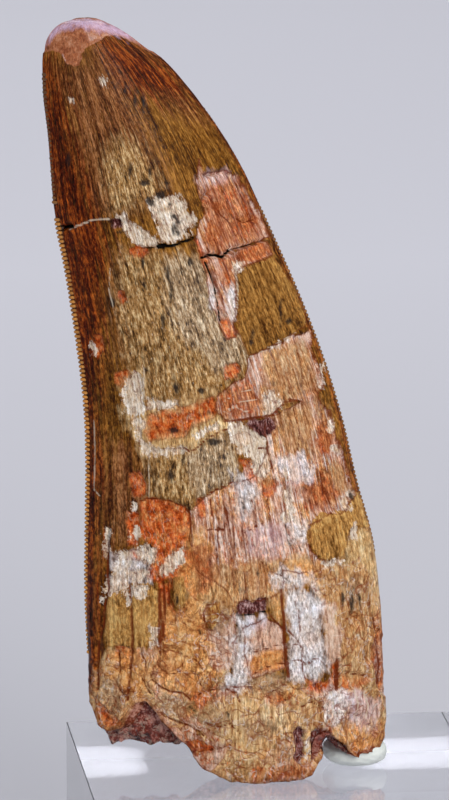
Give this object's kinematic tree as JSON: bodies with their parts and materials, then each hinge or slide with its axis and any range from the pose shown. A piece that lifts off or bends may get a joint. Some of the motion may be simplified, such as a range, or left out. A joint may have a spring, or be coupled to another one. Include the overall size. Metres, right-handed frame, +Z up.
{
  "type": "fossil dinosaur tooth on a display block",
  "caption": "Blade-like, serrated fossil tooth of a meat-eating dinosaur, standing upright on a clear square display block and steadied by a pad of mounting putty.",
  "frame": {"origin": "centre of the display block's underside, where it rests", "axes": "+Z up; -Y out of the tooth's shown face; -X the way the tip leans; the block's sides are square to X and Y"},
  "size_m": [0.0594, 0.054, 0.1248],
  "materials": {
    "fossil": "satin mineralised enamel and dentine, mottled brown, ochre, pink and cream",
    "putty": "matt, soft, pale grey",
    "acrylic": "clear, polished, with fine scratches"
  },
  "bodies": {
    "root": {"tooth": "fossil", "putty_pad": "putty", "display_block": "acrylic"}
  },
  "joints": []
}
